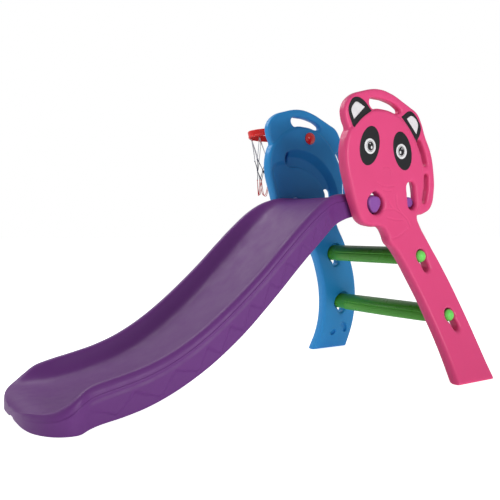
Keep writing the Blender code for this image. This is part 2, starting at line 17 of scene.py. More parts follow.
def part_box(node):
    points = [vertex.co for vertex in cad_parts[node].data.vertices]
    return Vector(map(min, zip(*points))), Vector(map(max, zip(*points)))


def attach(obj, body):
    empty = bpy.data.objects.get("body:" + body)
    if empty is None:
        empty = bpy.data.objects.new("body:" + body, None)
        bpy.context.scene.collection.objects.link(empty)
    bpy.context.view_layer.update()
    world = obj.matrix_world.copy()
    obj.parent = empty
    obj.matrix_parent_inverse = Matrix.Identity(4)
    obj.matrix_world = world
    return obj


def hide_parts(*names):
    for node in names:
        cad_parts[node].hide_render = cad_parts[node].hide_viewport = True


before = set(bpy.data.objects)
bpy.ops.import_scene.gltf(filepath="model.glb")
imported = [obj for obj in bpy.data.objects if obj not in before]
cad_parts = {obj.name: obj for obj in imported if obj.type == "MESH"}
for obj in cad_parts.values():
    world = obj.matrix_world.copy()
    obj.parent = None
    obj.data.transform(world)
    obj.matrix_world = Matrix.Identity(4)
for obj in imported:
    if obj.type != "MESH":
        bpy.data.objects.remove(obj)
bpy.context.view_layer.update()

# ---- places read from the frame ----
LEFT_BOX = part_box("left_panel")
RIGHT_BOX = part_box("right_panel")
RING_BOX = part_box("hoop_ring")
NET_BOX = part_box("hoop_net")
FOOT_REAR = 0.15
ORIGIN = Vector((RIGHT_BOX[1].x - FOOT_REAR, (LEFT_BOX[0].y + RIGHT_BOX[1].y) / 2.0, 0.0))

# ---- dimensions, metres, in slide axes ----
PANEL_THICK = 0.036
HEAD_HALF = 0.187
INNER_FACE = HEAD_HALF - PANEL_THICK
SPLAY = (
    (0.0, 0.32), (0.06, 0.288), (0.13, 0.257), (0.21, 0.229), (0.3, 0.2055), (0.4, 0.19),
    (0.5, HEAD_HALF),
)  # fmt: skip
FACE_ROUND = 0.008  # edge rounding of the face plate and legs
POD_ROUND = 0.005  # edge rounding of the ears, handle and grips before they are softened
POD_SOFTENING = 26
POD_OVERLAP = 0.015  # how far the ears, handle and grips run under the face plate
POD_SHRINK = 0.0015  # what the softening takes off the outline
POD_THICK = 0.026
PANEL_VOXEL = 0.0019

PIVOT = Vector((-0.164, 0.0, 0.472))
PEG_RADIUS = 0.022
PEG_LOBE = 0.0018
PEG_ROOT_Y = 0.135  # inside the chute's wall
PEG_TIP_Y = 0.182
PEG_DOME = 0.006
LIFT_PEG_RADIUS = 0.0145
LIFT_PEG_REACH = 0.138
LIFT_PEG_ANGLE = math.radians(3.0)
LIFT_PEG_TIP_Y = 0.1715
LIFT_PEG_DOME = 0.007
TRACK_OUTER = (0.162, 0.154)  # radius at the face and at the floor
TRACK_FLARE = 0.014  # how much wider the outer wall opens at the track's upper end
TRACK_INNER = (0.12, 0.1235)
TRACK_DEPTH = 0.022
TRACK_FROM = math.radians(-3.3)
TRACK_TO = math.radians(98.0)
TRACK_END_HOLE = ((-0.197, 0.6125), (-0.1965, 0.6315))
TRACK_END_RADIUS = 0.0082
WELL_DEPTH = 0.008
WELL_SLOPE = (0.019, -0.003)  # how far its outline grows at the cutter's start and at the floor
CUT_CLEAR = 0.006  # how far a cutter starts outside the face it cuts
FOOT_HOLE = (0.063, 0.06)
FOOT_HOLE_RADIUS = 0.01
FOOT_MARK_DEPTH = 0.009
FOOT_CRESCENT = ((0.08, 0.056), 0.041, 0.026)

STEP_AXES = ((-0.006, 0.332), (0.06, 0.171))
STEP_HALF_HEIGHT = 0.024
STEP_HALF_DEPTH = 0.042
STEP_END_RADIUS = 0.0245
STEP_POCKET_RADIUS = 0.0295
STEP_POCKET_DEPTH = 0.009
KEYHOLE_RADIUS = 0.0185
KEYHOLE_SLOT_RADIUS = 0.0125
KEYHOLE_SLOT_DROP = Vector((0.0125, -0.0305))
NECK_RADIUS = 0.0105
KNOB_RADIUS = 0.0165
KNOB_PROUD = 0.006
KNOB_SUNK = 0.008  # how far the widest part of a knob lies inside its keyhole

HOOP_BOLT = Vector((-0.118, 0.684))
HOOP_RADIUS = (RING_BOX[1].x - RING_BOX[0].x) / 2.0
HOOP_CENTRE_Y = RING_BOX[1].y - HOOP_RADIUS - ORIGIN.y
HOOP_TOP = RING_BOX[1].z
HOOP_BAND = 0.022
HOOP_WALL = 0.006
HOOP_VOXEL = 0.0009
HOOP_PLATE_HALF = 0.0165
HOOP_ARM_HALF = 0.0125
HOOP_BOSS_RADIUS = 0.0125
HOOP_BOSS_PROUD = 0.0245
HOOK_REACH = 0.005
HOOK_DROP = 0.0062
HOOK_RADIUS = 0.0015
BOLT_HEAD = 0.0185
BOLT_DOME = 0.0105
NET_TOP = NET_BOX[1].z
NET_LOW = NET_BOX[0].z
NET_LOOPS = 10
CORD_RADIUS = 0.0011

# Outline of a panel, (x, z): a point marked "V" is a corner, and the others are smooth.
OUTLINE = (
    (0.006, 0.0, "V"), (0.007, 0.07), (-0.008, 0.155), (-0.048, 0.264), (-0.099, 0.352),
    (-0.118, 0.37), (-0.126, 0.393), (-0.141, 0.411), (-0.174, 0.4135),
    (-0.21, 0.424), (-0.233, 0.465), (-0.252, 0.52), (-0.2675, 0.582),
    (-0.264, 0.63), (-0.2535, 0.657), (-0.264, 0.684), (-0.2655, 0.714),
    (-0.243, 0.743), (-0.205, 0.7585), (-0.15, 0.769), (-0.104, 0.762),
    (-0.062, 0.7455), (-0.036, 0.734), (-0.009, 0.7205), (0.009, 0.694),
    (0.0225, 0.662), (0.046, 0.618), (0.0585, 0.565), (0.0605, 0.51),
    (0.0465, 0.465), (0.018, 0.449), (-0.01, 0.439), (-0.002, 0.418),
    (0.029, 0.37), (0.073, 0.297), (0.111, 0.21), (0.138, 0.11), (0.15, 0.0, "V"),
)  # fmt: skip
# The raised face plate runs inside the ears, handle and grips, and carries on down the leg.
NOTCH = 15  # the point of OUTLINE in the notch under the front ear
CHIN = 31  # the point of OUTLINE where the chin meets the leg at the rear
FACE_EDGE = (
    (-0.238, 0.671), (-0.213, 0.693), (-0.181, 0.711), (-0.15, 0.716),
    (-0.118, 0.7145), (-0.085, 0.7055), (-0.059, 0.691), (-0.034, 0.668),
    (-0.012, 0.633), (0.005, 0.596), (0.0135, 0.56), (0.013, 0.518),
    (0.005, 0.478), (-0.004, 0.455),
)  # fmt: skip
HANDLE_OPENING = (
    (-0.184, 0.74), (-0.15, 0.7465), (-0.11, 0.742), (-0.082, 0.732),
    (-0.07, 0.7205), (-0.08, 0.7125), (-0.118, 0.717), (-0.155, 0.7185),
    (-0.174, 0.7165),
)  # fmt: skip
GRIP_SLOTS = (
    ((0.000, 0.643), (0.016, 0.614), (0.025, 0.586)),
    ((0.03, 0.551), (0.03, 0.518), (0.022, 0.484)),
)
GRIP_SLOT_RADIUS = 0.0095
PEG_EYE_RADIUS = 0.0285
PEG_EYE_TIP = ((0.011, 0.027), (0.0, 0.0325), (-0.011, 0.027))
LIFT_SLOT = ((-0.0355, 0.518), (-0.03, 0.474))
LIFT_SLOT_RADIUS = 0.0155
WELL = (
    (-0.213, 0.447), (-0.226, 0.49), (-0.243, 0.545), (-0.249, 0.585), (-0.226, 0.6), (-0.164, 0.602),
    (-0.1, 0.59), (-0.058, 0.56), (-0.045, 0.51), (-0.055, 0.455), (-0.11, 0.434), (-0.17, 0.43),
)  # fmt: skip
# Lines sunk in the outer face: nose, mouth, collar and bow.
FACE_LINES = (
    ((-0.139, 0.567), (-0.128, 0.57), (-0.117, 0.5675), (-0.11, 0.559), (-0.114, 0.55)),
    ((-0.16, 0.526), (-0.146, 0.52), (-0.122, 0.518), (-0.099, 0.5205)),
    ((-0.14, 0.508), (-0.126, 0.506), (-0.111, 0.508)),
    ((-0.121, 0.481), (-0.113, 0.47), (-0.104, 0.461)),
    ((-0.093, 0.497), (-0.091, 0.479), (-0.086, 0.462), (-0.077, 0.455)),
    (
        (-0.144, 0.454), (-0.122, 0.459), (-0.098, 0.458), (-0.073, 0.448), (-0.052, 0.433),
        (-0.041, 0.414),
    ),
    ((-0.126, 0.436), (-0.096, 0.43), (-0.067, 0.431)),
    ((-0.112, 0.381), (-0.092, 0.385), (-0.072, 0.394), (-0.052, 0.408)),
)  # fmt: skip
LINE_DEPTH = 0.001
LINE_HALF = 0.0019

# Sections of the chute along x: crest height, floor height, bottom height, half width.
CHUTE = (
    (-1.0365, 0.024, 0.023, 0.005, 0.046), (-1.0335, 0.03, 0.0285, 0.002, 0.085),
    (-1.025, 0.036, 0.0335, 0.0000, 0.12), (-1.011, 0.04, 0.0365, 0.0000, 0.15),
    (-0.992, 0.046, 0.037, 0.0000, 0.172), (-0.969, 0.059, 0.0365, 0.0000, 0.184),
    (-0.946, 0.075, 0.037, 0.0000, 0.184), (-0.925, 0.085, 0.0385, 0.004, 0.174),
    (-0.9, 0.092, 0.042, 0.009, 0.17), (-0.85, 0.1025, 0.0505, 0.017, 0.17),
    (-0.8, 0.115, 0.062, 0.0285, 0.17), (-0.75, 0.133, 0.077, 0.046, 0.17),
    (-0.7, 0.158, 0.099, 0.069, 0.17), (-0.65, 0.1895, 0.128, 0.097, 0.17),
    (-0.6, 0.2265, 0.163, 0.131, 0.17), (-0.55, 0.2675, 0.203, 0.17, 0.17),
    (-0.5, 0.3115, 0.248, 0.215, 0.17), (-0.45, 0.3595, 0.297, 0.2625, 0.17),
    (-0.4, 0.406, 0.347, 0.311, 0.169), (-0.35, 0.4485, 0.399, 0.356, 0.167),
    (-0.31, 0.475, 0.44, 0.388, 0.161), (-0.28, 0.488, 0.465, 0.409, 0.1525),
    (-0.25, 0.495, 0.4825, 0.425, 0.149), (-0.21, 0.4975, 0.493, 0.437, 0.149),
    (-0.15, 0.497, 0.496, 0.442, 0.149), (-0.08, 0.495, 0.495, 0.443, 0.149),
    (-0.02, 0.492, 0.492, 0.444, 0.149), (-0.006, 0.49, 0.49, 0.445, 0.1485),
    (-0.002, 0.486, 0.486, 0.448, 0.146),
)  # fmt: skip
CHUTE_FLOOR_THICK = 0.022
# Teeth along the side wall: x of each top and, after it, of the bottom that follows.
TEETH = (
    -0.935, -0.865, -0.829, -0.768, -0.734, -0.677, -0.6577, -0.622, -0.597, -0.562, -0.541, -0.509,
    -0.49, -0.46, -0.441, -0.413, -0.394, -0.368, -0.35, -0.326, -0.308, -0.288,
)  # fmt: skip
TOOTH_TOP = 0.55
TOOTH_LOW = 0.13
TOOTH_PROUD = 0.0034

EYES = ((-0.189, 0.62, -15.0, -0.188, 0.6185), (-0.071, 0.614, 16.0, -0.075, 0.6125))
EYE_HALF = (0.033, 0.052)
EYEBALL = 0.0195
EARS = (
    (
        (-0.179, 0.711, "V"), (-0.213, 0.689), (-0.241, 0.662, "V"), (-0.257, 0.703),
        (-0.248, 0.731), (-0.229, 0.741), (-0.205, 0.734),
    ),
    (
        (-0.071, 0.705, "V"), (-0.042, 0.723), (-0.018, 0.714), (0.004, 0.681),
        (-0.011, 0.641, "V"), (-0.04, 0.676),
    ),
)  # fmt: skip
EAR_WHITES = (
    (
        (-0.203, 0.718, "V"), (-0.239, 0.684, "V"), (-0.248, 0.707), (-0.238, 0.724),
        (-0.227, 0.728),
    ),
    (
        (-0.051, 0.702, "V"), (-0.034, 0.711), (-0.017, 0.704), (-0.008, 0.688),
        (-0.014, 0.664, "V"),
    ),
)  # fmt: skip
DECAL_THICK = 0.0002
FILM_LIFT = 0.00014  # between the films of an eye, which lie on one another
EAR_LIFT = 0.0003
EAR_WHITE_LIFT = 0.00055
DECAL_STEPS = 8
DECAL_GRID = 0.0035

# ---- colours, linear ----
PINK = (0.78, 0.07, 0.225)
BLUE = (0.025, 0.3, 0.7)
PURPLE = (0.15, 0.036, 0.215)
# The pegs are moulded in the chute's purple. This lighter copy is painted light, to lift the shade they sit
# in.
PEG_PURPLE_PAINTED_LIGHTER = (0.27, 0.085, 0.39)
GREEN = (0.085, 0.4, 0.04)
KNOB_GREEN = (0.18, 0.76, 0.13)
RED = (0.78, 0.012, 0.012)


# ---- camera, lights and floor ----
CAMERA_AT = Vector((-0.896, -1.4645, 0.401))
CAMERA_YAW = 57.18
CAMERA_PITCH = -1.7
CAMERA_LENS = 46.15
FLOOR_WHITE = 0.95
FLOOR_MIRRORED = 0.35
FLOOR_BOUNCE = 0.38
WORLD_MIRRORED = 0.45
WORLD_AMBIENT = 0.24


def linked(name, data):
    """A new object that holds the data, in the scene."""
    made = bpy.data.objects.new(name, data)
    bpy.context.scene.collection.objects.link(made)
    return made


def set_inputs(node, values):
    for socket, value in values.items():
        node.inputs[socket].default_value = value


def make_camera():
    data = bpy.data.cameras.new("camera")
    data.lens = CAMERA_LENS
    data.sensor_width = 36.0
    camera = linked("camera", data)
    camera.location = CAMERA_AT
    camera.rotation_euler = (math.radians(90.0 + CAMERA_PITCH), 0.0, math.radians(CAMERA_YAW - 90.0))
    bpy.context.scene.camera = camera


def area_light(name, place, target, size, power):
    data = bpy.data.lights.new(name, "AREA")
    data.shape = "RECTANGLE"
    data.size, data.size_y = size
    data.energy = power
    light = linked(name, data)
    light.location = place
    light.rotation_mode = "QUATERNION"
    light.rotation_quaternion = (Vector(target) - Vector(place)).to_track_quat("-Z", "Y")


def light_strength(tree, seen, mirrored_share, gathered):
    """A strength with one value as seen, one for glossy reflections and one for what matt surfaces gather."""
    path = tree.nodes.new("ShaderNodeLightPath")
    indirect = tree.nodes.new("ShaderNodeMapRange")
    set_inputs(indirect, {"To Min": mirrored_share, "To Max": gathered})
    tree.links.new(path.outputs["Is Diffuse Ray"], indirect.inputs["Value"])
    strength = tree.nodes.new("ShaderNodeMapRange")
    strength.inputs["To Max"].default_value = seen
    tree.links.new(indirect.outputs["Result"], strength.inputs["To Min"])
    tree.links.new(path.outputs["Is Camera Ray"], strength.inputs["Value"])
    return strength.outputs["Result"]


def make_floor():
    bpy.ops.mesh.primitive_plane_add(size=60.0, location=(0.0, 0.0, -0.0005))
    floor = bpy.context.object
    floor.name = "floor"
    look = bpy.data.materials.new("pale floor")
    look.use_nodes = True
    tree = look.node_tree
    shader = tree.nodes["Principled BSDF"]
    white = (1.0, 1.0, 1.0, 1.0)
    set_inputs(shader, {"Base Color": (0.8, 0.8, 0.8, 1.0), "Roughness": 0.8, "Emission Color": white})
    strength = light_strength(tree, FLOOR_WHITE, FLOOR_MIRRORED, FLOOR_BOUNCE)
    tree.links.new(strength, shader.inputs["Emission Strength"])
    floor.data.materials.append(look)


def make_lights():
    world = bpy.data.worlds.new("studio")
    world.use_nodes = True
    background = world.node_tree.nodes["Background"]
    background.inputs["Color"].default_value = (1.0, 1.0, 1.0, 1.0)
    strength = light_strength(world.node_tree, 1.0, WORLD_MIRRORED, WORLD_AMBIENT)
    world.node_tree.links.new(strength, background.inputs["Strength"])
    bpy.context.scene.world = world
    bpy.context.scene.view_settings.view_transform = "Standard"
    middle = (0.0, -0.05, 0.35)
    area_light("key", (0.35, -2.8, 0.85), middle, (1.2, 0.6), 34.0)
    area_light("top", (-0.7, 1.3, 2.1), middle, (1.8, 1.4), 30.0)
    area_light("left fill", (-2.6, 0.3, 0.8), middle, (0.9, 1.2), 5.0)


make_camera()
make_floor()
make_lights()


# ---- materials ----
def new_material(name):
    made = bpy.data.materials.new(name)
    made.use_nodes = True
    return made, made.node_tree.nodes, made.node_tree.links, made.node_tree.nodes["Principled BSDF"]


PEBBLE_SHARE = 0.18  # of the pebble in a plastic's bump, against 1 of the slow waves
# The colour sockets of a Mix node go by number, because its other sockets have the same names.
MIX_SHARE, MIX_FIRST, MIX_SECOND, MIX_RESULT = 0, 6, 7, 2


def noise_node(nodes, links, scale, detail=3.0, stretch=(1.0, 1.0, 1.0)):
    where = nodes.new("ShaderNodeTexCoord")
    place = nodes.new("ShaderNodeMapping")
    place.inputs["Scale"].default_value = stretch
    texture = nodes.new("ShaderNodeTexNoise")
    set_inputs(texture, {"Scale": scale, "Detail": detail})
    links.new(where.outputs["Object"], place.inputs["Vector"])
    links.new(place.outputs["Vector"], texture.inputs["Vector"])
    return texture


def ramp_node(nodes, links, source, low, high):
    ramp = nodes.new("ShaderNodeMapRange")
    set_inputs(ramp, {"From Min": 0.3, "From Max": 0.7, "To Min": low, "To Max": high})
    links.new(source, ramp.inputs["Value"])
    return ramp


def uneven_colour(nodes, links, shader, texture, colour, shade, least):
    """Mixes a colour with its own shade by a texture, with at least the given share of the full colour."""
    mix = nodes.new("ShaderNodeMix")
    mix.data_type = "RGBA"
    mix.inputs[MIX_FIRST].default_value = (*[shade * c for c in colour], 1.0)
    mix.inputs[MIX_SECOND].default_value = (*colour, 1.0)
    share = ramp_node(nodes, links, texture.outputs["Fac"], least, 1.0)
    links.new(share.outputs["Result"], mix.inputs[MIX_SHARE])
    links.new(mix.outputs[MIX_RESULT], shader.inputs["Base Color"])


def uneven_gloss(nodes, links, shader, texture, low, high):
    gloss = ramp_node(nodes, links, texture.outputs["Fac"], low, high)
    links.new(gloss.outputs["Result"], shader.inputs["Roughness"])


def raised(nodes, links, shader, height, strength, distance):
    bump = nodes.new("ShaderNodeBump")
    set_inputs(bump, {"Strength": strength, "Distance": distance})
    links.new(height, bump.inputs["Height"])
    links.new(bump.outputs["Normal"], shader.inputs["Normal"])


def plastic(name, colour, shade, roughness=0.36, grain=0.06, coat=0.0):
    """Moulded plastic: clouds of a colour that is darker by a share, a fine pebble and uneven gloss."""
    made, nodes, links, shader = new_material(name)
    uneven_colour(nodes, links, shader, noise_node(nodes, links, 7.0), colour, shade, 0.55)
    scuff = noise_node(nodes, links, 28.0, 5.0)
    uneven_gloss(nodes, links, shader, scuff, roughness - 0.05, roughness + 0.07)
    pebble = noise_node(nodes, links, 620.0, 2.0)
    wave = noise_node(nodes, links, 24.0, 2.0)
    total = nodes.new("ShaderNodeMath")
    total.operation = "MULTIPLY_ADD"
    total.inputs[1].default_value = PEBBLE_SHARE
    links.new(pebble.outputs["Fac"], total.inputs[0])
    links.new(wave.outputs["Fac"], total.inputs[2])
    raised(nodes, links, shader, total.outputs[0], grain, 0.002)
    set_inputs(shader, {
        "IOR": 1.45, "Specular IOR Level": 0.32, "Coat Weight": coat,
        "Subsurface Weight": 0.1, "Subsurface Radius": (1.0, 1.0, 1.0), "Subsurface Scale": 0.006,
    })
    return made


def printed(name, colour, roughness=0.42):
    """Printed vinyl film: nearly even colour under a thin gloss."""
    made, nodes, links, shader = new_material(name)
    uneven_colour(nodes, links, shader, noise_node(nodes, links, 90.0, 2.0), colour, 0.8, 0.5)
    ripple = noise_node(nodes, links, 60.0, 2.0)
    uneven_gloss(nodes, links, shader, ripple, roughness - 0.04, roughness + 0.06)
    shader.inputs["Specular IOR Level"].default_value = 0.25
    return made


def cord_look(name, colour):
    """Twisted cord: matt, with fine slanting plies, and painted shade in the grooves between them."""
    made, nodes, links, shader = new_material(name)
    ply_and_groove_shade = noise_node(nodes, links, 500.0, 1.0, (1.0, 1.0, 0.35))
    # The plies' height also darkens their grooves: painted shade.
    uneven_colour(nodes, links, shader, ply_and_groove_shade, colour, 0.62, 0.0)
    raised(nodes, links, shader, ply_and_groove_shade.outputs["Fac"], 0.5, 0.0006)
    shader.inputs["Roughness"].default_value = 0.8
    return made


PINK_LOOK = plastic("pink plastic", PINK, 0.9)
BLUE_LOOK = plastic("blue plastic", BLUE, 0.88)
PURPLE_LOOK = plastic("purple plastic", PURPLE, 0.88, roughness=0.46)
GREEN_LOOK = plastic("green plastic", GREEN, 0.85, roughness=0.3)
KNOB_LOOK = plastic("light green plastic", KNOB_GREEN, 0.9, roughness=0.34)
RED_LOOK = plastic("red plastic", RED, 0.88, roughness=0.26)
DOME_LOOK = plastic("polished red plastic", RED, 0.85, roughness=0.16, grain=0.02, coat=0.9)
# A lighter copy of the chute's purple for its pegs: painted light over their shade.
PEG_LOOK_PAINTED_LIGHTER = plastic("purple plastic painted lighter", PEG_PURPLE_PAINTED_LIGHTER, 0.88)
BLACK_LOOK = printed("black print", (0.014, 0.014, 0.017))
WHITE_LOOK = printed("white print", (0.86, 0.86, 0.88))
PALE_LOOK = printed("pale print", (0.8, 0.78, 0.8), 0.4)
CORD_COLOURS = (("white", (0.72, 0.72, 0.76)), ("navy", (0.01, 0.014, 0.065)), ("red", RED))
CORD_LOOKS = [(name, cord_look(name + " cord", colour)) for name, colour in CORD_COLOURS]


# ---- mesh helpers ----
def add_piece(name, mesh, look, body, *replaced, slot=None):
    """Moves a mesh drawn in slide axes into the frame and makes it a piece that rides on a body."""
    mesh.transform(Matrix.Translation(ORIGIN))
    mesh.materials.clear()
    mesh.materials.append(look)
    mesh.polygons.foreach_set("use_smooth", np.ones(len(mesh.polygons), bool))
    mesh.name = name
    piece = linked(name, mesh)
    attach(piece, body)
    if replaced:
        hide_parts(*replaced)
    return piece


def taken_mesh(obj):
    """The object's evaluated mesh in world space; the object is removed."""
    bpy.context.view_layer.update()
    graph = bpy.context.evaluated_depsgraph_get()
    mesh = bpy.data.meshes.new_from_object(obj.evaluated_get(graph), depsgraph=graph)
    mesh.transform(obj.matrix_world)
    bpy.data.objects.remove(obj, do_unlink=True)
    return mesh


def welded(mesh, distance=0.00002):
    bm = bmesh.new()
    bm.from_mesh(mesh)
    bmesh.ops.remove_doubles(bm, verts=bm.verts, dist=distance)
    bmesh.ops.recalc_face_normals(bm, faces=bm.faces)
    bm.to_mesh(mesh)
    bm.free()
    return mesh


def joined(meshes):
    bm = bmesh.new()
    for mesh in meshes:
        bm.from_mesh(mesh)
    made = bpy.data.meshes.new("joined")
    bm.to_mesh(made)
    bm.free()
    return made


def mirrored(mesh):
    other = mesh.copy()
    other.transform(Matrix.Scale(-1.0, 4, (0.0, 1.0, 0.0)))
    other.flip_normals()
    return other


def carved(mesh, cutters):
    """A closed mesh less each closed cutter."""
    body = linked("working", mesh)
    tools = [linked("working", cutter) for cutter in cutters]
    for tool in tools:
        cut = body.modifiers.new("cut", "BOOLEAN")
        cut.operation = "DIFFERENCE"
        cut.solver = "MANIFOLD"
        cut.object = tool
    result = taken_mesh(body)
    for tool in tools:
        bpy.data.objects.remove(tool, do_unlink=True)
    return result


def fused(mesh, voxel, rounds):
    """One skin over all the bodies in a mesh, with edges softened as a blow mould leaves them."""
    body = linked("working", mesh)
    skin = body.modifiers.new("skin", "REMESH")
    skin.mode = "VOXEL"
    skin.voxel_size = voxel
    soft = body.modifiers.new("soft", "SMOOTH")
    soft.factor = 0.5
    soft.iterations = rounds
    return taken_mesh(body)


def vertex_array(mesh):
    co = np.empty(len(mesh.vertices) * 3, np.float32)
    mesh.vertices.foreach_get("co", co)
    return co.reshape(-1, 3).astype(float)


def set_vertices(mesh, co):
    mesh.vertices.foreach_set("co", co.astype(np.float32).ravel())
    mesh.update()


def kept_above_floor(co):
    co[:, 2] = np.maximum(co[:, 2], 0.0)


def skin_of(rings, capped=True):
    """The solid through a row of rings of points, each an array of the same length."""
    count = len(rings[0])
    points = np.concatenate(rings)
    faces = []
    for r in range(len(rings) - 1):
        a, b = r * count, (r + 1) * count
        faces += [(a + i, a + (i + 1) % count, b + (i + 1) % count, b + i) for i in range(count)]
    if capped:
        faces.append(tuple(range(count)))
        faces.append(tuple(range((len(rings) - 1) * count, len(rings) * count)))
    mesh = bpy.data.meshes.new("skin")
    mesh.from_pydata([tuple(p) for p in points], [], faces)
    return welded(mesh, 0.000001)


def turned(profile, place, steps=48):
    """The solid turned about z from a profile of (radius, height) that starts and ends on the axis."""
    angles = [2.0 * math.pi * i / steps for i in range(steps)]
    points, faces = [], []
    inner = [p for p in profile if p[0] > 0.0]
    for r, h in inner:
        points += [(r * math.cos(a), r * math.sin(a), h) for a in angles]
    for k in range(len(inner) - 1):
        a, b = k * steps, (k + 1) * steps
        faces += [(a + i, a + (i + 1) % steps, b + (i + 1) % steps, b + i) for i in range(steps)]
    first, last = len(points), len(points) + 1
    points += [(0.0, 0.0, profile[0][1]), (0.0, 0.0, profile[-1][1])]
    top = (len(inner) - 1) * steps
    faces += [(first, (i + 1) % steps, i) for i in range(steps)]
    faces += [(last, top + i, top + (i + 1) % steps) for i in range(steps)]
    mesh = bpy.data.meshes.new("turned")
    mesh.from_pydata(points, [], faces)
    mesh.transform(place)
    return welded(mesh, 0.000001)


def along_y(x, z):
    return Matrix.Translation((x, 0.0, z)) @ Matrix.Rotation(math.radians(-90.0), 4, "X")


def arc_points(centre, radius, start, end, count):
    steps = [start + (end - start) * i / (count - 1) for i in range(count)]
    return [(centre[0] + radius * math.cos(a), centre[1] + radius * math.sin(a)) for a in steps]


def through(a, b, c, d, t):
    """Catmull-Rom: the point at share t from b to c."""
    bend = (2 * a - 5 * b + 4 * c - d) * t * t
    return 0.5 * (2 * b + (c - a) * t + bend + (3 * b - a - 3 * c + d) * t ** 3)


def towards(a, b, c, d, t):
    """Cubic B-spline: the point at share t of the span that b and c pull most."""
    early = a * (1 - t) ** 3 + b * (3 * t ** 3 - 6 * t * t + 4)
    return (early + c * (-3 * t ** 3 + 3 * t * t + 3 * t + 1) + d * t ** 3) / 6.0


def closed_line(points, steps, formula):
    """A closed line by one of the two formulas, with the same number of steps after each point."""
    p = np.array(points, float)
    before, after, later = np.roll(p, 1, 0), np.roll(p, -1, 0), np.roll(p, -2, 0)
    rows = [formula(before, p, after, later, i / steps) for i in range(steps)]
    return np.stack(rows, 1).reshape(-1, p.shape[1])


def open_line(padded, steps, formula):
    """An open line by one of the two formulas, with its own number of steps for each span."""
    return [formula(*padded[i:i + 4], k / count) for i, count in enumerate(steps) for k in range(count)]


def loop_through(points, steps):
    return closed_line(points, steps, through)


def rows_through(points, steps):
    """A smooth open line through rows of numbers, with its own number of steps after each row."""
    p = np.array(points, float)
    padded = np.concatenate([[2 * p[0] - p[1]], p, [2 * p[-1] - p[-2]]])
    return np.array(open_line(padded, steps, through) + [p[-1]])


def smoothstep(value, low, high):
    t = np.clip((value - low) / (high - low), 0.0, 1.0)
    return t * t * (3.0 - 2.0 * t)


def line_distance(points, line):
    """The distance of each 2D point from a polyline."""
    best = np.full(len(points), 1e9)
    for start, end in zip(line, line[1:]):
        a, b = np.array(start), np.array(end)
        along = np.clip(((points - a) @ (b - a)) / ((b - a) @ (b - a)), 0.0, 1.0)
        best = np.minimum(best, np.linalg.norm(points - (a + along[:, None] * (b - a)), axis=1))
    return best


# ---- side panels ----
def is_corner(point):
    return len(point) == 3


def add_bezier(curve, points):
    spline = curve.splines.new("BEZIER")
    spline.bezier_points.add(len(points) - 1)
    for knot, point in zip(spline.bezier_points, points):
        knot.co = (*point[:2], 0.0)
        knot.handle_left_type = "VECTOR" if is_corner(point) else "AUTO"
        knot.handle_right_type = knot.handle_left_type
    spline.use_cyclic_u = True


def add_polygon(curve, points):
    spline = curve.splines.new("POLY")
    spline.points.add(len(points) - 1)
    for knot, (x, z) in zip(spline.points, points):
        knot.co = (x, z, 0.0, 1.0)
    spline.use_cyclic_u = True


def flat_curve(thickness, rounding):
    """A flat plate with rounded edges, whose outlines are still to be added."""
    curve = bpy.data.curves.new("outline", "CURVE")
    curve.dimensions = "2D"
    curve.fill_mode = "BOTH"
    curve.resolution_u = 8
    curve.extrude = thickness / 2.0 - rounding
    curve.bevel_depth = rounding
    curve.bevel_resolution = 4
    curve.offset = -rounding
    return curve


def upright(curve, centre_y):
    obj = linked("outline", curve)
    obj.matrix_world = Matrix.Translation((0.0, centre_y, 0.0)) @ Matrix.Rotation(math.radians(90.0), 4, "X")
    return welded(taken_mesh(obj))


def stadium(spine, radius):
    """The outline of a slot of one width along a line of points."""
    first, second = Vector(spine[0]), Vector(spine[1])
    before, last = Vector(spine[-2]), Vector(spine[-1])
    head = math.atan2(first.y - second.y, first.x - second.x)
    tail = math.atan2(last.y - before.y, last.x - before.x)
    quarter = math.pi / 2.0
    points = arc_points(first, radius, head - quarter, head + quarter, 13)
    middles = [Vector(p) for p in spine[1:-1]]
    points += [tuple(m + radius * side_of(last - first)) for m in middles]
    points += arc_points(last, radius, tail - quarter, tail + quarter, 13)
    points += [tuple(m - radius * side_of(last - first)) for m in reversed(middles)]
    return points


def side_of(direction):
    across = Vector((direction.y, -direction.x)).normalized()
    return across if across.x < 0.0 else -across


def keyhole(axis):
    centre = Vector(axis)
    low = centre + KEYHOLE_SLOT_DROP
    down = math.atan2(KEYHOLE_SLOT_DROP.y, KEYHOLE_SLOT_DROP.x)
    throat = math.asin(KEYHOLE_SLOT_RADIUS / KEYHOLE_RADIUS)
    around = arc_points(centre, KEYHOLE_RADIUS, down + throat, down - throat + 2.0 * math.pi, 29)
    quarter = math.pi / 2.0
    return around + arc_points(low, KEYHOLE_SLOT_RADIUS, down - quarter, down + quarter, 13)


def peg_eye():
    lower = arc_points(PIVOT.xz, PEG_EYE_RADIUS, math.radians(150.0), math.radians(390.0), 31)
    tip = [(PIVOT.x + x, PIVOT.z + z) for x, z in PEG_EYE_TIP]
    return lower + tip


def add_body_holes(curve):
    add_polygon(curve, peg_eye())
    add_polygon(curve, stadium(LIFT_SLOT, LIFT_SLOT_RADIUS))
    for axis in STEP_AXES:
        add_polygon(curve, keyhole(axis))


def pod_layer():
    """The whole outline at the depth of the ears, handle and grips."""
    curve = flat_curve(POD_THICK, POD_ROUND)
    curve.offset += POD_SHRINK
    add_bezier(curve, OUTLINE)
    add_bezier(curve, HANDLE_OPENING)
    for spine in GRIP_SLOTS:
        add_polygon(curve, stadium(spine, GRIP_SLOT_RADIUS))
    middle = HEAD_HALF - PANEL_THICK / 2.0
    inside = grown(loop_through([point[:2] for point in face_outline()], 4), -POD_OVERLAP)
    cutter = tapered(inside, inside, middle - PANEL_THICK, middle + PANEL_THICK)
    solid = fused(upright(curve, middle), PANEL_VOXEL, POD_SOFTENING)
    return carved(solid, [cutter])


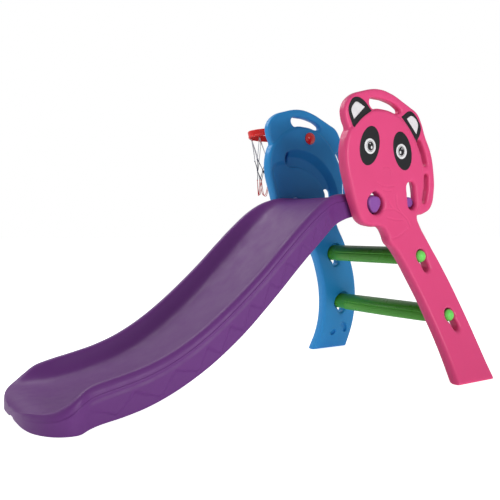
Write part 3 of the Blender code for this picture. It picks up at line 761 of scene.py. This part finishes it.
def face_outline():
    return OUTLINE[:NOTCH] + FACE_EDGE + OUTLINE[CHIN:]


def face_layer():
    """The raised face plate and the leg, at the full thickness."""
    curve = flat_curve(PANEL_THICK, FACE_ROUND)
    add_bezier(curve, face_outline())
    add_body_holes(curve)
    return upright(curve, HEAD_HALF - PANEL_THICK / 2.0)


def tapered(start_points, end_points, start, end):
    """A cutter between an outline at y = start and another at y = end."""
    rings = [
        np.array([(x, start, z) for x, z in start_points]),
        np.array([(x, end, z) for x, z in end_points]),
    ]
    return skin_of(rings)


def grown(points, distance):
    """A loop pushed outwards by a distance."""
    p = np.array(points, float)
    along = np.roll(p, -1, 0) - np.roll(p, 1, 0)
    normal = np.stack([along[:, 1], -along[:, 0]], 1)
    normal /= np.linalg.norm(normal, axis=1)[:, None]
    x, y = p[:, 0], p[:, 1]
    area = np.sum(x * np.roll(y, -1) - np.roll(x, -1) * y)
    return p + normal * distance * math.copysign(1.0, area)


def track_outline(share):
    """The arc track's outline: share 0 is at the face, 1 at the floor, and beyond 0 it keeps its slope."""
    outer = TRACK_OUTER[0] + (TRACK_OUTER[1] - TRACK_OUTER[0]) * share
    inner = TRACK_INNER[0] + (TRACK_INNER[1] - TRACK_INNER[0]) * share
    flare = TRACK_FLARE * (1.0 - share)
    outside = []
    for x, z in arc_points(PIVOT.xz, outer, TRACK_FROM, TRACK_TO, 61):
        out = Vector((x, z)) - PIVOT.xz
        lift = flare * max(0.0, out.y / outer)
        outside.append(tuple(PIVOT.xz + out * (1.0 + lift / outer)))
    inside = arc_points(PIVOT.xz, inner, TRACK_TO, TRACK_FROM, 61)
    top, bottom = Vector(outside[-1]), Vector(inside[0])
    start = math.atan2(top.y - bottom.y, top.x - bottom.x)
    cap = arc_points((top + bottom) / 2.0, (top - bottom).length / 2.0, start, start + math.pi, 19)
    return outside + cap[1:-1] + inside


def circle(centre, radius, count=40):
    return arc_points(centre, radius, 0.0, 2.0 * math.pi * (count - 1) / count, count)


def panel_cutters():
    start = INNER_FACE - CUT_CLEAR
    face_share = -CUT_CLEAR / TRACK_DEPTH
    track = tapered(track_outline(face_share), track_outline(1.0), start, INNER_FACE + TRACK_DEPTH)
    rim = loop_through(WELL, 8)
    top, floor = grown(rim, WELL_SLOPE[0]), grown(rim, WELL_SLOPE[1])
    well = tapered(top, floor, start, INNER_FACE + WELL_DEPTH)
    end_slot = stadium(TRACK_END_HOLE, TRACK_END_RADIUS)
    end_hole = tapered(end_slot, end_slot, start, HEAD_HALF + CUT_CLEAR)
    cutters = [well, track, end_hole]
    for axis in STEP_AXES:
        pocket = circle(axis, STEP_POCKET_RADIUS)
        cutters.append(tapered(pocket, pocket, start, INNER_FACE + STEP_POCKET_DEPTH))
    blind = circle(FOOT_HOLE, FOOT_HOLE_RADIUS, 24)
    cutters.append(tapered(blind, blind, start, INNER_FACE + FOOT_MARK_DEPTH))
    centre, outer, within = FOOT_CRESCENT
    moon = arc_points(centre, outer, 0.0, math.radians(80.0), 17)
    moon += arc_points(centre, within, math.radians(72.0), math.radians(8.0), 17)
    cutters.append(tapered(moon, moon, start, INNER_FACE + FOOT_MARK_DEPTH))
    return cutters


def outer_half(z):
    """The outer face of a panel at each height, from the plane of symmetry, on a smooth curve."""
    heights = np.array([h for h, _ in SPLAY])
    halves = np.array([s for _, s in SPLAY])
    slopes = np.gradient(halves, heights)
    slopes[-1] = 0.0
    z = np.clip(z, 0.0, heights[-1])
    i = np.clip(np.searchsorted(heights, z, side="right") - 1, 0, len(heights) - 2)
    span = heights[i + 1] - heights[i]
    t = (z - heights[i]) / span
    return (
        (1 + 2 * t) * (1 - t) ** 2 * halves[i] + t * (1 - t) ** 2 * span * slopes[i]
        + t * t * (3 - 2 * t) * halves[i + 1] + t * t * (t - 1) * span * slopes[i + 1]
    )


def sink_face_lines(co):
    """Presses the face's lines into the outer face."""
    outer = co[:, 1] > HEAD_HALF - 0.004
    flat = co[outer][:, (0, 2)]
    sunk = np.zeros(len(flat))
    for line in FACE_LINES:
        near = line_distance(flat, line)
        sunk = np.maximum(sunk, LINE_DEPTH * np.exp(-((near / LINE_HALF) ** 2)))
    co[outer, 1] -= sunk


def panel_mesh():
    """The right panel, splayed, and the flat panel's outer surface for laying stickers on."""
    face = carved(fused(face_layer(), PANEL_VOXEL, 2), panel_cutters())
    mesh = fused(joined([pod_layer(), face]), PANEL_VOXEL, 4)
    co = vertex_array(mesh)
    sink_face_lines(co)
    set_vertices(mesh, co)
    surface = BVHTree.FromPolygons([tuple(p) for p in co], [tuple(f.vertices) for f in mesh.polygons])
    co[:, 1] += outer_half(co[:, 2]) - HEAD_HALF
    kept_above_floor(co)
    set_vertices(mesh, co)
    return mesh, surface


def make_panels():
    mesh, surface = panel_mesh()
    add_piece("left_panel_shell", mirrored(mesh), PINK_LOOK, "stand", "left_panel", slot="pink_plastic")
    add_piece("right_panel_shell", mesh, BLUE_LOOK, "stand", "right_panel", slot="blue_plastic")
    return surface


# ---- chute ----
def chute_profile(crest, floor, bottom, half):
    """Control points of half a section, (y, z), from the middle of the floor round to the underside."""
    rise = crest - floor
    inner = half - min(0.055, 0.55 * half)
    roof = max(floor - CHUTE_FLOOR_THICK, bottom + 0.004)
    small = min(1.0, (crest - bottom) / 0.06)
    tall = crest - bottom
    return (
        (0.0, floor), (0.35 * inner, floor + 0.003 * rise), (0.7 * inner, floor + 0.03 * rise),
        (inner, floor + 0.12 * rise), (half - 0.041, floor + 0.3 * rise),
        (half - 0.031, floor + 0.6 * rise), (half - 0.024, floor + 0.9 * rise),
        (half - 0.0195, crest + 0.0005), (half - 0.012, crest + 0.0015), (half - 0.006, crest - 0.002),
        (half - 0.0026, crest - 0.008 * small), (half - 0.0016, crest - 0.0165 * small),
        (half - 0.0014, crest - 0.0185 * small), (half + 0.0006, crest - 0.02 * small),
        (half + 0.0004, crest - 0.0235 * small), (half, crest - 0.03 * small),
        (half, bottom + 0.3 * tall), (half, bottom + 0.008 * small), (half - 0.0005, bottom + 0.001),
        (half - 0.005, bottom), (half - 0.014, bottom), (half - 0.027, bottom),
        (half - 0.032, bottom + 0.002), (half - 0.036, roof), (half - 0.046, roof), (0.5 * half, roof),
        (0.0, roof),
    )  # fmt: skip


PROFILE_STEPS = (3, 4, 6, 6, 6, 6, 4, 4, 4, 4, 4, 4, 4, 4, 4, 10, 18, 4, 4, 3, 3, 3, 3, 3, 4, 6)


def spline_points(control, steps):
    """A cubic B-spline that starts at the first control point's mirror plane and ends at the last one's."""
    p = np.array(control, float)
    ends = np.array((-1.0, 1.0))
    padded = np.concatenate([[p[1] * ends], p, [p[-2] * ends]])
    last = (padded[-3] + 4 * padded[-2] + padded[-1]) / 6.0
    return np.array(open_line(padded, steps, towards) + [last])


def tooth_line(x, crest, bottom):
    """Height of the toothed line on the side wall at x."""
    shares = [TOOTH_TOP if i % 2 == 0 else TOOTH_LOW for i in range(len(TEETH))]
    return bottom + np.interp(x, TEETH, shares) * (crest - bottom)


def wall_relief(y, z, x, crest, bottom, half):
    """How far a point of the section stands out: the band above the toothed line is proud."""
    wall = smoothstep(np.abs(y), half - 0.004, half - 0.0015)
    below_rail = 1.0 - smoothstep(z, crest - 0.034, crest - 0.025)
    above = smoothstep(z - tooth_line(x, crest, bottom), -0.0016, 0.0016)
    reach = smoothstep(x, -0.945, -0.915) * (1.0 - smoothstep(x, -0.31, -0.27))
    return TOOTH_PROUD * wall * (above * below_rail + 0.35 * (1.0 - below_rail)) * reach


def chute_mesh():
    counts = [4] * 8 + [18] * 11 + [12] * 3 + [10] * 4 + [4] * 2
    stations = rows_through(CHUTE, counts)
    rings = []
    for x, crest, floor, bottom, half in stations:
        right = spline_points(chute_profile(crest, floor, bottom, half), PROFILE_STEPS)
        right[:, 0] += wall_relief(right[:, 0], right[:, 1], x, crest, bottom, half)
        left = right[-2:0:-1] * np.array((-1.0, 1.0))
        section = np.concatenate([right, left])
        rings.append(np.column_stack([np.full(len(section), x), section[:, 0], section[:, 1]]))
    mesh = skin_of(rings)
    co = vertex_array(mesh)
    kept_above_floor(co)
    set_vertices(mesh, co)
    return mesh


def peg_mesh(outline, centre, start, tip, dome):
    """A peg along y with a softly domed tip."""
    ring = np.array(outline)
    middle = np.array(centre)
    levels = [(start, 1.0)]
    for i in range(9):
        a = math.pi / 2.0 * i / 8.0
        levels.append((tip - dome + dome * math.sin(a), 0.72 + 0.28 * math.cos(a)))
    for scale in (0.5, 0.2):
        levels.append((tip, scale))
    rings = []
    for y, scale in levels:
        flat = middle + (ring - middle) * scale
        rings.append(np.column_stack([flat[:, 0], np.full(len(flat), y), flat[:, 1]]))
    return skin_of(rings)


def peg_outline():
    angles = [2.0 * math.pi * i / 60 for i in range(60)]
    radii = [PEG_RADIUS + PEG_LOBE * math.cos(3.0 * (a - math.radians(30.0))) for a in angles]
    return [(PIVOT.x + r * math.cos(a), PIVOT.z + r * math.sin(a)) for a, r in zip(angles, radii)]


def make_chute():
    front = peg_mesh(peg_outline(), PIVOT.xz, PEG_ROOT_Y, PEG_TIP_Y, PEG_DOME)
    reach = LIFT_PEG_REACH * Vector((math.cos(LIFT_PEG_ANGLE), math.sin(LIFT_PEG_ANGLE)))
    lift = PIVOT.xz + reach
    rear = peg_mesh(circle(lift, LIFT_PEG_RADIUS), lift, PEG_ROOT_Y, LIFT_PEG_TIP_Y, LIFT_PEG_DOME)
    pieces = [("shell", chute_mesh(), PURPLE_LOOK)]
    for name, peg in (("front_peg", front), ("rear_peg", rear)):
        # The pegs take the purple that is painted lighter, against the shade in their holes.
        pieces += [("left_" + name, mirrored(peg), PEG_LOOK_PAINTED_LIGHTER), ("right_" + name, peg, PEG_LOOK_PAINTED_LIGHTER)]
    for name, mesh, look in pieces:
        add_piece("slide_chute_" + name, mesh, look, "chute", "slide_chute", slot="purple_plastic")


# ---- steps ----
def tread_section(depth, height, groove):
    """Control points of the tread round its section, (x, z): a crowned top plate over a rounded bar."""
    lip = 1.0 + 0.012 * groove
    cut = 1.0 - 0.05 * groove
    right = (
        (0.3 * depth, -height), (0.66 * depth, -0.99 * height), (0.9 * depth, -0.8 * height),
        (1.00 * depth, -0.42 * height), (1.00 * depth, -0.1 * height), (0.99 * depth, 0.04 * height),
        (cut * depth, 0.09 * height), (cut * depth, 0.14 * height), (lip * depth, 0.18 * height),
        (0.985 * depth, 0.28 * height), (0.9 * depth, 0.52 * height), (0.72 * depth, 0.78 * height),
        (0.45 * depth, 0.95 * height), (0.15 * depth, 1.02 * height),
    )  # fmt: skip
    return right + tuple((-x, z) for x, z in reversed(right))


def step_rings(axis, end_y):
    """Rings of the tread from its left end to its right end."""
    rings = []
    for share in np.sin(np.linspace(-math.pi / 2.0, math.pi / 2.0, 121)):
        swell = max(0.0, 1.0 - abs(share / 0.93) ** 2.6)
        depth = STEP_END_RADIUS + (STEP_HALF_DEPTH - STEP_END_RADIUS) * swell
        groove = float(smoothstep(np.array(swell), 0.15, 0.55))
        section = closed_line(tread_section(depth, STEP_HALF_HEIGHT, groove), 6, towards)
        angles = np.arctan2(section[:, 1] / STEP_HALF_HEIGHT, section[:, 0] / depth)
        around = STEP_END_RADIUS * np.column_stack([np.cos(angles), np.sin(angles)])
        mix = min(1.0, swell * 2.4)
        section = around + (section - around) * mix
        y = share * end_y
        lean = outer_half(axis[1] + section[:, 1]) - outer_half(np.array([axis[1]]))[0]
        end_share = float(smoothstep(np.array(abs(share)), 0.84, 0.97))
        rings.append(
            np.column_stack([
                axis[0] + section[:, 0], y + math.copysign(1.0, share) * end_share * lean,
                axis[1] + section[:, 1],
            ])
        )
    return rings


def knob_mesh(axis):
    face = float(outer_half(np.array([axis[1]]))[0])
    start = face - PANEL_THICK + STEP_POCKET_DEPTH - 0.006
    rim = face - KNOB_SUNK
    neck = [(0.0, start), (NECK_RADIUS, start), (NECK_RADIUS, rim - 0.004)]
    profile = neck + [(0.93 * KNOB_RADIUS, rim - 0.003)]
    for i in range(9):
        a = math.pi / 2.0 * i / 9.0
        profile.append((KNOB_RADIUS * math.cos(a), rim + (KNOB_PROUD + KNOB_SUNK) * math.sin(a)))
    profile.append((0.0, face + KNOB_PROUD))
    return turned(profile, along_y(*axis))


def make_steps():
    for name, axis in zip(("upper_step", "lower_step"), STEP_AXES):
        end_y = float(outer_half(np.array([axis[1]]))[0]) - PANEL_THICK + STEP_POCKET_DEPTH - 0.0015
        tread = skin_of(step_rings(axis, end_y))
        add_piece(name + "_tread", tread, GREEN_LOOK, "stand", name, slot="green_plastic")
        knob = knob_mesh(axis)
        add_piece(name + "_right_knob", knob.copy(), KNOB_LOOK, "stand", name, slot="green_plastic")
        add_piece(name + "_left_knob", mirrored(knob), KNOB_LOOK, "stand", name, slot="green_plastic")


# ---- hoop, bolt and net ----
def ring_band():
    """The hoop's band, a little wider at its top edge."""
    top, low = HOOP_TOP, HOOP_TOP - HOOP_BAND
    outer, inner = HOOP_RADIUS, HOOP_RADIUS - HOOP_WALL
    profile = (
        (outer - 0.004, top), (outer - 0.0005, top - 0.001), (outer, top - 0.004),
        (outer - 0.003, low + 0.006), (outer - 0.002, low + 0.003), (outer - 0.0035, low),
        (inner - 0.001, low), (inner - 0.001, low + 0.004), (inner + 0.001, top - 0.002),
    )  # fmt: skip
    steps = 96
    rings = []
    for i in range(steps):
        a = 2.0 * math.pi * i / steps
        rings.append(np.array([
            (HOOP_BOLT.x + r * math.cos(a), HOOP_CENTRE_Y + r * math.sin(a), z) for r, z in profile
        ]))
    rings.append(rings[0])
    return skin_of(rings, capped=False)


def tube(points, radius, sides=8):
    """A round tube along a line of 3D points."""
    rings = []
    side = (points[1] - points[0]).orthogonal()
    for i, here in enumerate(points):
        along = (points[min(i + 1, len(points) - 1)] - points[max(i - 1, 0)]).normalized()
        side = (side - along * side.dot(along)).normalized()
        up = along.cross(side)
        rings.append(np.array([
            tuple(here + radius * (side * math.cos(a) + up * math.sin(a)))
            for a in (2.0 * math.pi * k / sides for k in range(sides))
        ]))
    return skin_of(rings)


def hook_mesh(angle):
    """A small open hook under the band, for one loop of the net."""
    out = Vector((math.cos(angle), math.sin(angle), 0.0))
    top = Vector((HOOP_BOLT.x, HOOP_CENTRE_Y, HOOP_TOP - HOOP_BAND + 0.003)) + out * (HOOP_RADIUS - 0.0055)
    points = []
    for i in range(11):
        a = math.pi * i / 10.0
        inwards = HOOK_REACH * (1.0 - math.cos(a)) - 0.001
        points.append(top - out * inwards - Vector((0.0, 0.0, HOOK_DROP * math.sin(a))))
    return tube(points, HOOK_RADIUS)


def slab(outline, half):
    """A block between two like outlines of (y, z), one on each side of the bolt."""
    rings = [np.array([(HOOP_BOLT.x + side, y, z) for y, z in outline]) for side in (-half, half)]
    return skin_of(rings)


def make_hoop():
    back = HEAD_HALF - (PANEL_THICK - POD_THICK) / 2.0
    near = HOOP_CENTRE_Y - HOOP_RADIUS + 0.003
    low = HOOP_TOP - HOOP_BAND + 0.0025
    pad = ((back, 0.67), (back + 0.0105, 0.672), (back + 0.0105, 0.701), (back, 0.703))
    plate = slab(pad, HOOP_PLATE_HALF)
    slope = ((back + 0.004, 0.6855), (near, low), (near, HOOP_TOP - 0.0035), (back + 0.004, 0.7025))
    arm = slab(slope, HOOP_ARM_HALF)
    end = back + HOOP_BOSS_PROUD
    sides = ((HOOP_BOSS_RADIUS, back), (HOOP_BOSS_RADIUS, end - 0.0025), (HOOP_BOSS_RADIUS - 0.002, end))
    boss = turned(((0.0, back), *sides, (0.0, end)), along_y(*HOOP_BOLT))
    hooks = [hook_mesh(2.0 * math.pi * (k + 0.5) / NET_LOOPS) for k in range(NET_LOOPS)]
    mesh = fused(joined([ring_band(), plate, arm, boss, *hooks]), HOOP_VOXEL, 3)
    add_piece("hoop_ring_shell", mesh, RED_LOOK, "stand", "hoop_ring", slot="red_plastic")


def make_bolt():
    seat = INNER_FACE - 0.0003
    profile = [(0.0, seat - BOLT_DOME)]
    for i in range(1, 13):
        a = math.pi / 2.0 * i / 12.0
        profile.append((BOLT_HEAD * math.sin(a), seat - BOLT_DOME * math.cos(a)))
    profile += [(BOLT_HEAD, seat + 0.0006), (0.0, seat + 0.0006)]
    dome = turned(profile, along_y(*HOOP_BOLT))
    add_piece("hoop_bolt_dome", dome, DOME_LOOK, "stand", "hoop_bolt", slot="red_knob")


# Rows of knots: share of the way down the net, and radius.
NET_LEVELS = ((0.0, 0.077), (0.38, 0.064), (0.56, 0.0575), (0.72, 0.054))


def net_point(level, turn, jitter):
    """A knot of the net: its level from the top, its place round the ring in loops, and a small wander."""
    share, radius = NET_LEVELS[level]
    a = 2.0 * math.pi * (turn + 0.5) / NET_LOOPS + jitter[0]
    r = radius + jitter[1]
    z = NET_TOP + (NET_LOW - NET_TOP) * share + jitter[2]
    return Vector((HOOP_BOLT.x + r * math.cos(a), HOOP_CENTRE_Y + r * math.sin(a), z))


def strand(start, end, sag):
    """A cord between two knots that bows a little outwards in the middle."""
    axis = Vector((HOOP_BOLT.x, HOOP_CENTRE_Y, 0.0))
    out = ((start + end) / 2.0 - axis).to_2d().normalized().to_3d()
    points = []
    for i in range(9):
        t = i / 8.0
        points.append(start.lerp(end, t) - out * sag * math.sin(math.pi * t))
    return tube(points, CORD_RADIUS, 7)


def knot_mesh(at):
    return turned(
        ((0.0, -0.0023), (0.0016, -0.0016), (0.0021, 0.0), (0.0016, 0.0016), (0.0, 0.0023)),
        Matrix.Translation(at), 10,
    )


def net_loop(start, end, depth):
    """A hanging loop between two knots."""
    points = []
    for i in range(17):
        across = i / 8.0 - 1.0
        points.append(start.lerp(end, 0.5 + 0.2 * across ** 3 + 0.3 * across))
        points[-1].z -= depth * (1.0 - across ** 4)
    points[0], points[-1] = start, end
    return tube(points, CORD_RADIUS, 7)


def make_net():
    draw = random.Random(11)
    knots = []
    for level in range(len(NET_LEVELS)):
        offset = 0.5 * (level % 2)
        wander = (0.0, 0.0, 0.0)
        row = []
        for k in range(NET_LOOPS):
            if level:
                wander = (draw.uniform(-0.03, 0.03), draw.uniform(-0.002, 0.001), draw.uniform(-0.003, 0.003))
            row.append(net_point(level, k + offset, wander))
        knots.append(row)
    parts = ([], [], [])
    for level, (upper, lower) in enumerate(zip(knots, knots[1:])):
        cords = parts[0] if level == 0 else parts[1]
        for k in range(NET_LOOPS):
            other = (k - 1) % NET_LOOPS if level % 2 == 0 else (k + 1) % NET_LOOPS
            cords.append(strand(upper[k], lower[k], 0.001))
            cords.append(strand(upper[k], lower[other], 0.001))
            if level:
                cords.append(knot_mesh(upper[k]))
    last = knots[-1]
    depth = last[0].z - NET_LOW - 0.002
    for k in range(NET_LOOPS):
        start, end = last[k], last[(k + 1) % NET_LOOPS]
        parts[2].append(net_loop(start, end, depth - draw.uniform(0.0, 0.006)))
        parts[2].append(knot_mesh(start))
    for (name, look), cords in zip(CORD_LOOKS, parts):
        add_piece(f"hoop_net_{name}", joined(cords), look, "stand", "hoop_net", slot="net_cord")


# ---- stickers ----
def smooth_outline(points):
    """A closed line through points that turns sharply only at its corners."""
    corners = [i for i, point in enumerate(points) if is_corner(point)]
    flat = [point[:2] for point in points]
    if not corners:
        return loop_through(flat, DECAL_STEPS)
    runs = []
    for start, end in zip(corners, corners[1:] + [corners[0] + len(flat)]):
        run = [flat[i % len(flat)] for i in range(start, end + 1)]
        runs.append(rows_through(run, [DECAL_STEPS] * (len(run) - 1))[:-1])
    return np.concatenate(runs)


def decal(points, lift, surface=None):
    """A thin film cut to an outline, laid on the right panel's flat face or on its curved surface."""
    edge = smooth_outline(points)
    low, high = edge.min(axis=0), edge.max(axis=0)
    grid = [
        Vector((x, z))
        for x in np.arange(low[0], high[0], DECAL_GRID)
        for z in np.arange(low[1], high[1], DECAL_GRID)
    ]
    spots = [Vector(point) for point in edge] + grid
    corners, _, faces, *_ = delaunay_2d_cdt(spots, [], [list(range(len(edge)))], 1, 1e-6)
    films = []
    for x, z in corners:
        hit = surface and surface.ray_cast(Vector((x, 0.25, z)), Vector((0.0, -1.0, 0.0)))[0]
        films.append((x, (hit.y if hit else HEAD_HALF) + lift, z))
    mesh = bpy.data.meshes.new("decal")
    mesh.from_pydata(films, [], faces)
    bm = bmesh.new()
    bm.from_mesh(mesh)
    bmesh.ops.delete(bm, geom=[v for v in bm.verts if not v.link_faces], context="VERTS")
    bmesh.ops.recalc_face_normals(bm, faces=bm.faces)
    bmesh.ops.solidify(bm, geom=bm.faces[:], thickness=-DECAL_THICK)
    bmesh.ops.recalc_face_normals(bm, faces=bm.faces)
    bm.to_mesh(mesh)
    bm.free()
    return mesh


def ellipse(x, z, half_u, half_v, tilt=0.0):
    turn = Matrix.Rotation(math.radians(tilt), 2)
    points = []
    for i in range(16):
        a = math.pi * i / 8.0
        corner = turn @ Vector((half_u * math.cos(a), half_v * math.sin(a)))
        points.append((x + corner.x, z + corner.y))
    return points


def add_decal_pair(name, mesh, look, replaced=None):
    left = [f"left_{replaced}"] if replaced else []
    right = [f"right_{replaced}"] if replaced else []
    add_piece("left_" + name, mirrored(mesh), look, "stand", *left, slot="black_sticker")
    add_piece("right_" + name, mesh, look, "stand", *right, slot="black_sticker")


def make_eyes():
    for where, (x, z, tilt, ball_x, ball_z) in zip(("front", "rear"), EYES):
        inward = 1.0 if where == "front" else -1.0
        layers = (
            ("eye_patch", ellipse(x, z, *EYE_HALF, tilt), BLACK_LOOK),
            ("eye_white", ellipse(ball_x, ball_z, EYEBALL, 1.02 * EYEBALL), WHITE_LOOK),
            ("eye_iris", ellipse(ball_x + 0.001 * inward, ball_z, 0.0132, 0.0145), BLACK_LOOK),
            ("eye_line", ellipse(ball_x + 0.001 * inward, ball_z, 0.0123, 0.0136), PALE_LOOK),
            ("eye_pupil", ellipse(ball_x + 0.001 * inward, ball_z, 0.0104, 0.0117), BLACK_LOOK),
            ("eye_glint", ellipse(ball_x + 0.0048 * inward, ball_z - 0.003, 0.003, 0.0042), WHITE_LOOK),
            ("eye_spark", ellipse(ball_x - 0.001 * inward, ball_z + 0.007, 0.0016, 0.002), WHITE_LOOK),
        )
        for level, (part, outline, look) in enumerate(layers):
            mesh = decal(outline, FILM_LIFT * (level + 1.5))
            add_decal_pair(f"{where}_{part}", mesh, look, f"{where}_eye_sticker" if level == 0 else None)


def make_sticker_backs():
    """The pale backs of the front eye stickers, which show through the slots at the tracks' ends."""
    x, z = (Vector(TRACK_END_HOLE[0]) + Vector(TRACK_END_HOLE[1])) / 2.0
    back = decal(ellipse(x, z, 0.011, 0.021), 0.0)
    add_decal_pair("front_eye_back", back, PALE_LOOK)


def make_ears(surface):
    for where, outline, white in zip(("front", "rear"), EARS, EAR_WHITES):
        patch = decal(outline, EAR_LIFT, surface)
        add_decal_pair(f"{where}_ear_patch", patch, BLACK_LOOK, f"{where}_ear_sticker")
        add_decal_pair(f"{where}_ear_white", decal(white, EAR_WHITE_LIFT, surface), PALE_LOOK)


SURFACE = make_panels()
make_chute()
make_steps()
make_hoop()
make_bolt()
make_net()
make_eyes()
make_sticker_backs()
make_ears(SURFACE)
